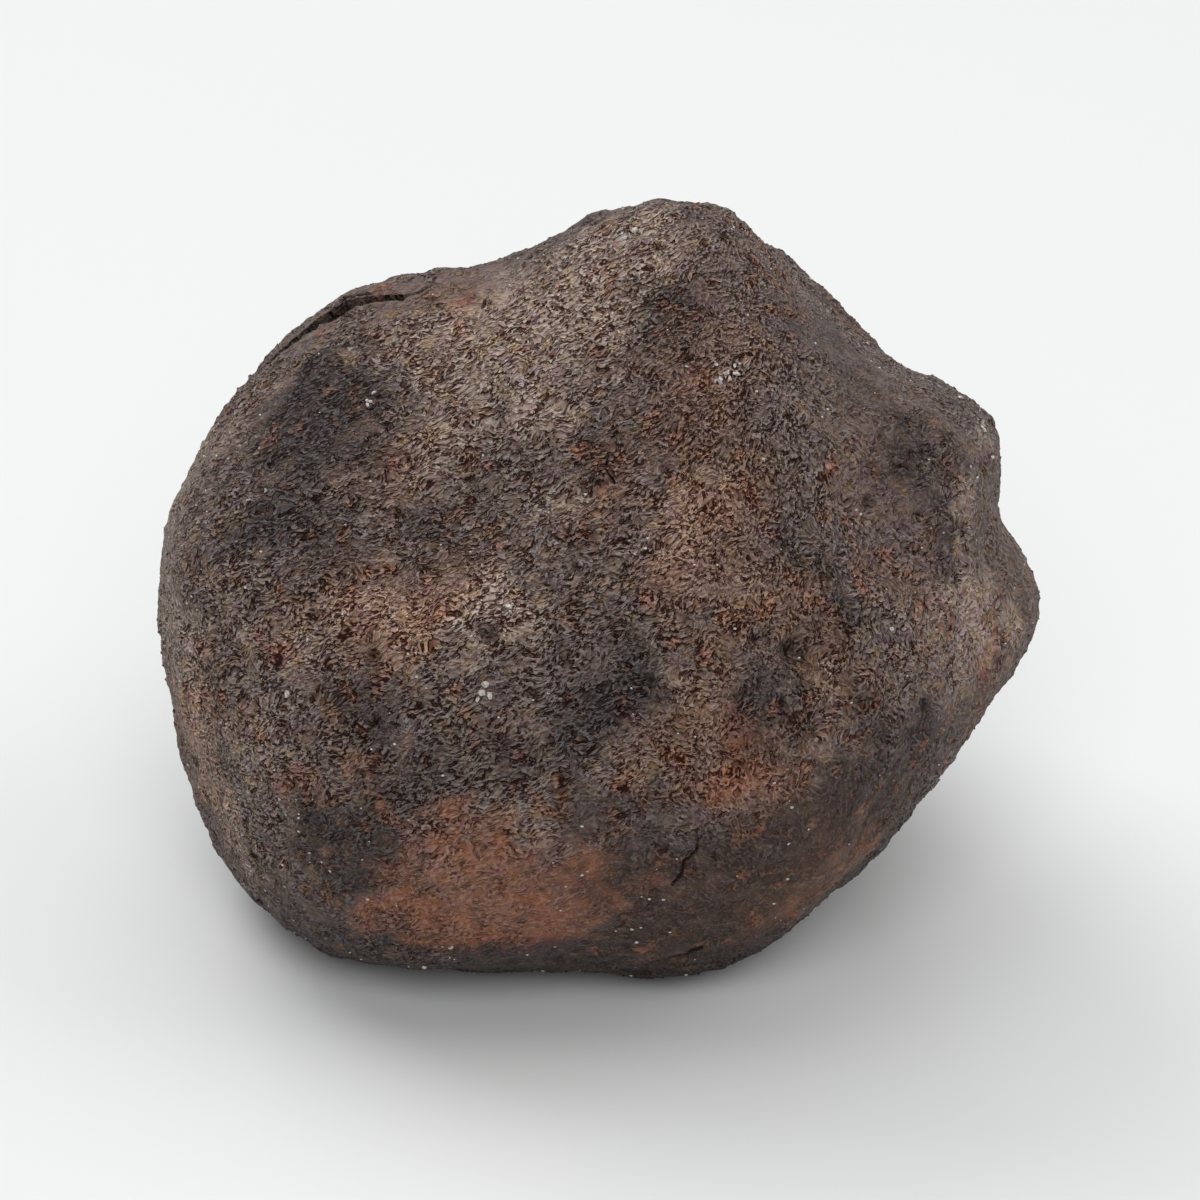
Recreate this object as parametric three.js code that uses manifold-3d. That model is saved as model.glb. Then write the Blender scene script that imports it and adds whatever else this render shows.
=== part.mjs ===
// A stony meteorite of the chondrite kind: one natural stone with a dark, weathered melt crust.
// Millimetres, +Z up, -Y is the front. The stone stands on a small flat spot at z = 0, and the
// middle of its box, seen from above, is over the origin.
//
// Its form is worked out along rays from the stone's middle. Broad worn faces set how far each
// ray goes, lumps, ridges and thumbprint hollows raise or sink it, and a little fractal relief
// keeps the faces from being dead flat. The open crack and the resting spot are then cut.
import * as THREE from "three";
import { ImprovedNoise } from "three/addons/math/ImprovedNoise.js";
import { mergeVertices } from "three/addons/utils/BufferGeometryUtils.js";
import Module from "manifold-3d";

// The stone's middle stands this high over the surface that it rests on.
const MIDDLE_HEIGHT = 14.5;
// Widths of lumps and hollows are measured on a ball of the stone's mean size.
const MEAN_RADIUS = 16.5;
// How crisply two worn faces meet: 2 would give a ball, and 40 a sharp edge.
const EDGE_CRISPNESS = 11;
// Rows of triangles along each edge of the twenty-sided ball that the skin starts from.
const SKIN_ROWS = 20;

// The broad worn faces. Azimuth turns from the front (0) to the right (90) and the back (180),
// elevation rises from the horizon, and distance is from the stone's middle.
const FACES = [
  { name: "front", azimuth: -4, elevation: 4, distance: 14.2 },
  { name: "upper front", azimuth: -24, elevation: 42, distance: 11.6 },
  { name: "upper front right", azimuth: 36, elevation: 34, distance: 15.0 },
  { name: "front left", azimuth: -52, elevation: 4, distance: 17.2 },
  { name: "front right", azimuth: 50, elevation: 2, distance: 17.0 },
  { name: "lower front", azimuth: 10, elevation: -38, distance: 16.5 },
  { name: "lower front left", azimuth: -38, elevation: -44, distance: 20.2 },
  { name: "lower front right", azimuth: 40, elevation: -48, distance: 21.0 },
  { name: "left", azimuth: -90, elevation: -8, distance: 19.9 },
  { name: "upper left", azimuth: -106, elevation: 38, distance: 16.7 },
  { name: "lower left front", azimuth: -70, elevation: -27, distance: 23.8 },
  { name: "lower left back", azimuth: -108, elevation: -24, distance: 20.4 },
  { name: "right", azimuth: 92, elevation: 6, distance: 18.6 },
  { name: "right slope of the peak", azimuth: 100, elevation: 46, distance: 14.9 },
  { name: "lower right front", azimuth: 66, elevation: -35, distance: 17.2 },
  { name: "lower right back", azimuth: 112, elevation: -28, distance: 16.4 },
  { name: "saddle", azimuth: -58, elevation: 66, distance: 11.8 },
  { name: "crown", azimuth: 168, elevation: 66, distance: 16.4 },
  { name: "back", azimuth: 176, elevation: 4, distance: 16.6 },
  { name: "back left", azimuth: -136, elevation: 2, distance: 17.8 },
  { name: "back right", azimuth: 136, elevation: 6, distance: 17.6 },
  { name: "upper back", azimuth: -160, elevation: 44, distance: 14.7 },
  { name: "lower back", azimuth: 178, elevation: -40, distance: 16.8 },
  { name: "underside", azimuth: 0, elevation: -90, distance: 15.0 },
];

// Lumps and ridges (height over 0) and hollows (height under 0). A form with an end runs from
// its azimuth and elevation to those of its end. Past its width it fades out.
const RELIEF = [
  { name: "peak", azimuth: 128, elevation: 70, end: [176, 73], width: 4.8, height: 1.7 },
  { name: "crest before the peak", azimuth: 110, elevation: 80, end: [26, 56], width: 4.2, height: 0.6 },
  { name: "saddle dip", azimuth: -150, elevation: 66, width: 5.0, height: -0.8 },
  { name: "left shoulder", azimuth: -118, elevation: 36, width: 4.6, height: 1.0 },
  { name: "lifted flake", azimuth: -116, elevation: 29, end: [-132, 47], width: 1.5, height: 0.2 },
  { name: "great thumbprint", azimuth: -46, elevation: 42, width: 6.0, height: -1.2 },
  { name: "shelf under it", azimuth: -70, elevation: 18, end: [-30, 18], width: 3.4, height: 0.8 },
  { name: "middle bowl", azimuth: 2, elevation: 9, width: 3.4, height: -0.9 },
  { name: "ridge beside the bowl", azimuth: 16, elevation: 24, end: [22, -10], width: 2.6, height: 0.5 },
  { name: "pit", azimuth: 34, elevation: 14, width: 1.3, height: -0.7 },
  { name: "right hollow", azimuth: 64, elevation: 24, width: 4.0, height: -1.3 },
  { name: "upper right knob", azimuth: 98, elevation: 20, end: [78, 26], width: 3.4, height: 2.3 },
  { name: "right knob", azimuth: 85, elevation: -1, width: 3.4, height: 1.6 },
  { name: "notch between", azimuth: 106, elevation: 8, end: [82, 10], width: 2.2, height: -0.9 },
  { name: "front foot", azimuth: 24, elevation: -46, width: 4.6, height: 1.3 },
  { name: "left thumbprint", azimuth: -98, elevation: -8, width: 3.6, height: -0.5 },
  { name: "back thumbprint", azimuth: -168, elevation: 18, width: 5.0, height: -0.9 },
  { name: "lower back thumbprint", azimuth: 150, elevation: -16, width: 4.0, height: -0.7 },
  { name: "back crest", azimuth: 160, elevation: 40, end: [138, 2], width: 2.8, height: 0.5 },
];

// Fractal relief of the worn crust. Each layer reads its own part of the noise field.
const CRUST_RELIEF = [
  { wavelength: 9.0, height: 0.36, offset: 3.7 },
  { wavelength: 4.2, height: 0.17, offset: 11.3 },
  { wavelength: 2.4, height: 0.08, offset: 23.9 },
];

// The open crack along the left shoulder, where a flake of crust has lifted. Its bends are
// given by azimuth and elevation, with the width of the crack's mouth there.
const SHOULDER_CRACK = {
  depth: 1.1,
  bends: [
    { azimuth: -107, elevation: 26, width: 0.1 },
    { azimuth: -107, elevation: 30, width: 0.2 },
    { azimuth: -111, elevation: 34, width: 0.35 },
    { azimuth: -115, elevation: 39, width: 0.45 },
    { azimuth: -118, elevation: 43, width: 0.3 },
    { azimuth: -122, elevation: 50, width: 0.25 },
    { azimuth: -128, elevation: 50, width: 0.1 },
  ],
};
// The cutting blade stands this far out of the skin, so that it leaves no sliver of it.
const BLADE_CLEARANCE = 0.5;
// The block that cuts the resting spot: wider than the stone, and deeper than its underside.
const GROUND = { width: 60, depth: 20 };

// A direction from the stone's middle, from its azimuth and elevation in degrees.
function toward(azimuth, elevation) {
  const a = THREE.MathUtils.degToRad(azimuth);
  const e = THREE.MathUtils.degToRad(elevation);
  const flat = Math.cos(e);
  return new THREE.Vector3(Math.sin(a) * flat, -Math.cos(a) * flat, Math.sin(e));
}

// How far a ray from the middle goes before it leaves the block of worn faces.
const faceNormals = FACES.map((face) => toward(face.azimuth, face.elevation));
function blockRadius(direction) {
  let sum = 0;
  FACES.forEach((face, i) => {
    const facing = Math.max(faceNormals[i].dot(direction), 0);
    sum += (facing / face.distance) ** EDGE_CRISPNESS;
  });
  return sum ** (-1 / EDGE_CRISPNESS);
}

const reliefLines = RELIEF.map((form) => {
  const start = toward(form.azimuth, form.elevation);
  return new THREE.Line3(start, form.end ? toward(...form.end) : start);
});
function reliefHeight(direction) {
  const nearest = new THREE.Vector3();
  let height = 0;
  RELIEF.forEach((form, i) => {
    reliefLines[i].closestPointToPoint(direction, true, nearest).normalize();
    const away = (MEAN_RADIUS * direction.distanceTo(nearest)) / form.width;
    height += form.height * Math.exp(-(away ** 2));
  });
  return height;
}

const noise = new ImprovedNoise();
function crustHeight(direction) {
  const sample = new THREE.Vector3();
  let height = 0;
  for (const layer of CRUST_RELIEF) {
    sample.copy(direction).multiplyScalar(MEAN_RADIUS / layer.wavelength).addScalar(layer.offset);
    height += layer.height * noise.noise(sample.x, sample.y, sample.z);
  }
  return height;
}

function radius(direction) {
  return blockRadius(direction) + reliefHeight(direction) + crustHeight(direction);
}

// A three.js geometry with its points shared by its triangles, so that it is one closed skin.
function shared(geometry) {
  geometry.deleteAttribute("normal");
  geometry.deleteAttribute("uv");
  return mergeVertices(geometry);
}

// The whole skin around the middle, with no crack and no resting spot yet.
function skin() {
  const geometry = shared(new THREE.IcosahedronGeometry(1, SKIN_ROWS));
  const points = geometry.attributes.position;
  const point = new THREE.Vector3();
  for (let i = 0; i < points.count; i++) {
    point.fromBufferAttribute(points, i).normalize();
    point.multiplyScalar(radius(point));
    points.setXYZ(i, point.x, point.y, point.z);
  }
  return geometry;
}

// The blade that opens a crack: a three-sided bar with a ring of corners at each bend. Two of
// its edges run over the skin, on both sides of the mouth, and the third is the crack's floor.
function crackBlade({ depth, bends }) {
  const last = bends.length - 1;
  const geometry = shared(new THREE.CylinderGeometry(1, 1, last, 3, last));
  const points = geometry.attributes.position;
  const across = new THREE.Vector3();
  for (let i = 0; i < points.count; i++) {
    const ring = Math.round(last / 2 - points.getY(i));
    const bend = bends[ring];
    const before = bends[Math.max(ring - 1, 0)];
    const after = bends[Math.min(ring + 1, last)];
    const direction = toward(bend.azimuth, bend.elevation);
    across.copy(toward(after.azimuth, after.elevation)).sub(toward(before.azimuth, before.elevation));
    // From the floor, the blade widens past the skin in the same two flat sides.
    const outerWidth = (bend.width * (depth + BLADE_CLEARANCE)) / depth;
    across.cross(direction).setLength(outerWidth);
    // The bar's corners lie at z = -1/2, for the mouth, and at z = 1, for the floor.
    const sunk = (points.getZ(i) + 0.5) / 1.5;
    const side = points.getX(i) / Math.sqrt(3);
    const rise = THREE.MathUtils.lerp(BLADE_CLEARANCE, -depth, sunk);
    const corner = direction.clone().multiplyScalar(radius(direction) + rise);
    corner.addScaledVector(across, side);
    points.setXYZ(i, corner.x, corner.y, corner.z);
  }
  return geometry;
}

const wasm = await Module();
wasm.setup();

function toManifold(geometry) {
  return new wasm.Manifold(
    new wasm.Mesh({
      numProp: 3,
      vertProperties: new Float32Array(geometry.attributes.position.array),
      triVerts: new Uint32Array(geometry.index.array),
    }),
  );
}

function fromManifold(body) {
  const mesh = body.getMesh();
  const geometry = new THREE.BufferGeometry();
  geometry.setAttribute("position", new THREE.BufferAttribute(mesh.vertProperties, 3));
  geometry.setIndex(new THREE.BufferAttribute(mesh.triVerts, 1));
  return geometry;
}

const ground = shared(new THREE.BoxGeometry(GROUND.width, GROUND.width, GROUND.depth));
ground.translate(0, 0, -MIDDLE_HEIGHT - GROUND.depth / 2);
const crackedSkin = toManifold(skin()).subtract(toManifold(crackBlade(SHOULDER_CRACK)));
const stoneGeometry = fromManifold(crackedSkin.subtract(toManifold(ground)));
stoneGeometry.computeBoundingBox();
const middle = stoneGeometry.boundingBox.getCenter(new THREE.Vector3());
stoneGeometry.translate(-middle.x, -middle.y, MIDDLE_HEIGHT);
stoneGeometry.computeVertexNormals();

const crustMaterial = new THREE.MeshStandardMaterial({
  color: 0x5a4b45,
  roughness: 0.75,
  metalness: 0,
});
const stone = new THREE.Mesh(stoneGeometry, crustMaterial);
stone.name = "stone";

const meteorite = new THREE.Group();
meteorite.add(stone);
export default meteorite;
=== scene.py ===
import math

import bmesh
import bpy
import numpy as np
from mathutils import Matrix, Vector, noise
from mathutils.bvhtree import BVHTree


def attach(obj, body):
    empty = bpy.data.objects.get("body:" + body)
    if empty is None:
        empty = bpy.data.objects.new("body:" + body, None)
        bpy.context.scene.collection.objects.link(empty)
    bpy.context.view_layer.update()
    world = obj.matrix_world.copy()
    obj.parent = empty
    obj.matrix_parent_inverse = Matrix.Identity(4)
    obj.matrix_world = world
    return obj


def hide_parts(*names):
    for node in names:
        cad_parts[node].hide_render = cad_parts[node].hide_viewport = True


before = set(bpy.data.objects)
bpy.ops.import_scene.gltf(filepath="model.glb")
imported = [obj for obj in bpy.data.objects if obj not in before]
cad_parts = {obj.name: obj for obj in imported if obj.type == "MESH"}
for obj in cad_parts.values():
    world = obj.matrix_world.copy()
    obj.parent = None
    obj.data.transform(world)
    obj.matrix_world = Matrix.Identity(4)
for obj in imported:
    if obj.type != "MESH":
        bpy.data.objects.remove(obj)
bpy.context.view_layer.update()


# ---------------------------------------------------------------------------------------------
# The stone. One lump of stony meteorite, about 38 mm wide. Its skin is a melt crust that has
# weathered to a dark, matt, finely granular rind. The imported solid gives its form, and the
# rind's own relief is worked into a finer copy of that skin.
# ---------------------------------------------------------------------------------------------
MM = 0.001
MERGE_GAP = 0.0001 * MM
SKIN_CELL = 0.24 * MM
SMOOTHING_PASSES = 5

# A place on the stone is the azimuth from its front, turning to the right, and the elevation
# over the horizon, in degrees, as they are seen from its middle. The skin there is looked for
# from this far out, in mm.
STONE_MIDDLE = Vector((-0.275, -0.662, 14.5)) * MM
WELL_OUTSIDE = 60


def mesh_object(name, mesh):
    """A piece of the scene with the given mesh, at the origin."""
    piece = bpy.data.objects.new(name, mesh)
    bpy.context.scene.collection.objects.link(piece)
    return piece


def merged_copy(source, name):
    """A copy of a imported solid's mesh with its loose triangles joined into one closed skin."""
    mesh = bpy.data.meshes.new(name)
    work = bmesh.new()
    work.from_mesh(source.data)
    bmesh.ops.remove_doubles(work, verts=work.verts, dist=MERGE_GAP)
    work.to_mesh(mesh)
    work.free()
    return mesh_object(name, mesh)


def settle(piece):
    """Makes a plain mesh of what a piece's modifiers give, and removes them."""
    bpy.context.view_layer.update()
    evaluated = piece.evaluated_get(bpy.context.evaluated_depsgraph_get())
    finished = bpy.data.meshes.new_from_object(evaluated)
    piece.modifiers.clear()
    rough = piece.data
    piece.data = finished
    bpy.data.meshes.remove(rough)


stone = merged_copy(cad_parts["stone"], "meteorite_stone")
remesh = stone.modifiers.new("even skin", "REMESH")
remesh.mode = "VOXEL"
remesh.voxel_size = SKIN_CELL
remesh.use_smooth_shade = True
smooth = stone.modifiers.new("worn skin", "SMOOTH")
smooth.factor = 0.5
smooth.iterations = SMOOTHING_PASSES
settle(stone)

bpy.context.view_layer.update()
skin = BVHTree.FromObject(stone, bpy.context.evaluated_depsgraph_get())


def on_skin(azimuth, elevation):
    """The point of the skin that lies in a direction from the stone's middle, and its normal."""
    a, e = math.radians(azimuth), math.radians(elevation)
    outward = Vector((math.sin(a) * math.cos(e), -math.cos(a) * math.cos(e), math.sin(e)))
    return skin.ray_cast(STONE_MIDDLE + outward * WELL_OUTSIDE * MM, -outward)[:2]


# Cracks, each with its depth in mm and its route of (azimuth, elevation, half width in mm). The
# first is the long one under the lifted flake of the left shoulder.
CRACKS = {
    "shoulder crack": (1.1, [
        (-106, 24, 0.06), (-108, 26, 0.10), (-110, 28.5, 0.13), (-111.5, 31, 0.14),
        (-113, 33.5, 0.17), (-115, 36, 0.24), (-116, 38.5, 0.32), (-118, 41, 0.30),
        (-120, 44.5, 0.24), (-121, 47, 0.19), (-122, 49.5, 0.15), (-124, 51.5, 0.13),
        (-128, 52, 0.08),
    ]),
    "shoulder crack's splinter": (0.35, [(-116, 40, 0.10), (-120, 40, 0.12), (-122, 43, 0.08)]),
    "thumbprint crack": (0.40, [(5, 53, 0.05), (4, 50.5, 0.09), (6, 47.5, 0.05)]),
    "lower crack": (0.24, [
        (13, -24, 0.02), (14.4, -21.6, 0.04), (14.5, -19, 0.05), (16.2, -16, 0.035),
        (16.0, -12, 0.02),
    ]),
    "foot crack": (0.30, [(15, -42, 0.05), (18, -40.5, 0.09), (20, -39, 0.05)]),
    "saddle crack": (0.25, [(-129, 66, 0.05), (-124, 65, 0.09), (-119, 65.5, 0.04)]),
    "back crack": (0.35, [(150, 30, 0.05), (156, 26, 0.10), (160, 19, 0.10), (168, 15, 0.05)]),
}

# The skin is split finely this near to a crack, with so many cuts in each edge.
CRACK_REACH = 0.42 * MM
CRACK_CUTS = 3

# A crack is cut no deeper than this many times its half width. Shade is painted along its middle,
# and the painted shade fades out just past its edges.
CRACK_STEEPNESS = 6
CRACK_DARKNESS = 1.9
CRACK_FADING = 1.4

# Pits, each (azimuth, elevation, radius in mm, depth in mm). The shade painted in a pit fades to
# its rim.
PIT_DARKNESS = 0.75
PIT_FADING = 1.3
PITS = [
    (-131, 64, 0.28, 0.22), (-126, 62, 0.20, 0.18), (-20, 18, 0.55, 0.28), (-6, 17, 0.30, 0.22),
    (33, 14, 0.60, 0.30), (29, 7, 0.45, 0.25), (-75, 24, 0.35, 0.18), (-40, 10, 0.40, 0.18),
    (10, 12, 0.35, 0.25), (61, 29, 0.45, 0.22), (55, -2, 0.45, 0.20), (-16, -20, 0.16, 0.12),
    (-22, -24, 0.15, 0.12), (-10, -27, 0.15, 0.12), (-4, -22, 0.17, 0.12), (-27, -20, 0.14, 0.10),
    (-17, -17, 0.20, 0.12), (-13, -20, 0.18, 0.12), (-19, -28, 0.20, 0.12),
    (-25, -30, 0.18, 0.12), (-8, -25, 0.20, 0.12), (-15, -25, 0.18, 0.12),
    (-21, -20, 0.20, 0.12), (-5, -29, 0.18, 0.12), (-12, -31, 0.20, 0.12),
    (150, 10, 0.60, 0.25), (-160, 35, 0.50, 0.25), (120, -15, 0.55, 0.25), (-140, -5, 0.60, 0.25),
]


def nearest_on_route(points, route):
    """How far each point is from a route of points, with the share of each stretch it is at."""
    best = np.full(len(points), np.inf)
    stretch = np.zeros(len(points), dtype=int)
    share = np.zeros(len(points))
    for i in range(len(route) - 1):
        start, along = route[i], route[i + 1] - route[i]
        t = np.clip((points - start) @ along / (along @ along), 0.0, 1.0)
        gap = np.linalg.norm(points - start - t[:, None] * along, axis=1)
        closer = gap < best
        best[closer], stretch[closer], share[closer] = gap[closer], i, t[closer]
    return best, stretch, share


def skin_points(mesh):
    """A mesh's points, as rows of x, y and z."""
    flat = np.empty(len(mesh.vertices) * 3, dtype=np.float32)
    mesh.vertices.foreach_get("co", flat)
    return flat.reshape(-1, 3).astype(float)


crack_lines = {}
for name, (depth, bends) in CRACKS.items():
    found = [on_skin(azimuth, elevation) for azimuth, elevation, half_width in bends]
    crack_lines[name] = (
        depth * MM,
        np.array([point for point, normal in found]),
        np.array([normal for point, normal in found]),
        np.array([half_width for azimuth, elevation, half_width in bends]) * MM,
    )

work = bmesh.new()
work.from_mesh(stone.data)
work.verts.ensure_lookup_table()
points = np.array([vertex.co for vertex in work.verts])
near = np.zeros(len(points), dtype=bool)
for depth, route, normals, half_widths in crack_lines.values():
    near |= nearest_on_route(points, route)[0] < CRACK_REACH
edges = [edge for edge in work.edges if near[edge.verts[0].index] and near[edge.verts[1].index]]
bmesh.ops.subdivide_edges(work, edges=edges, cuts=CRACK_CUTS, use_grid_fill=True)
bmesh.ops.triangulate(work, faces=work.faces)
work.to_mesh(stone.data)
work.free()

# The skin is sunk along the cracks and in the pits, and it is marked there as sunk, with the share
# of shade that is painted there.
points = skin_points(stone.data)
sunk = np.zeros(len(points))
sink = np.zeros((len(points), 3))
for depth, route, normals, half_widths in crack_lines.values():
    gap, stretch, share = nearest_on_route(points, route)
    width = half_widths[stretch] * (1 - share) + half_widths[stretch + 1] * share
    inward = -(normals[stretch] * (1 - share)[:, None] + normals[stretch + 1] * share[:, None])
    deepest = np.minimum(depth, width * CRACK_STEEPNESS)
    dip = np.sqrt(np.clip(1 - (gap / width) ** 2, 0.0, 1.0)) * deepest
    sink += inward * dip[:, None]
    dark = np.clip(CRACK_DARKNESS - CRACK_FADING * gap / (width + 0.01 * MM), 0.0, 1.0)
    sunk = np.maximum(sunk, dark)
for azimuth, elevation, radius, depth in PITS:
    centre, normal = on_skin(azimuth, elevation)
    gap = np.linalg.norm(points - np.array(centre), axis=1) / (radius * MM)
    dip = np.clip(1 - gap ** 2, 0.0, 1.0) ** 1.5 * depth * MM
    sink -= np.array(normal) * dip[:, None]
    sunk = np.maximum(sunk, PIT_DARKNESS * np.clip(PIT_FADING * (1 - gap), 0.0, 1.0))
stone.data.vertices.foreach_set("co", (points + sink).astype(np.float32).ravel())

# Near the table the skin is painted as dark as in a crack, a painted shade where it meets the
# table, and has as few crumbs.
FOOT_HEIGHT = 3.6 * MM
FOOT_DARKNESS = 0.95
sunk = np.maximum(sunk, FOOT_DARKNESS * np.clip(1 - points[:, 2] / FOOT_HEIGHT, 0.0, 1.0))

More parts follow.
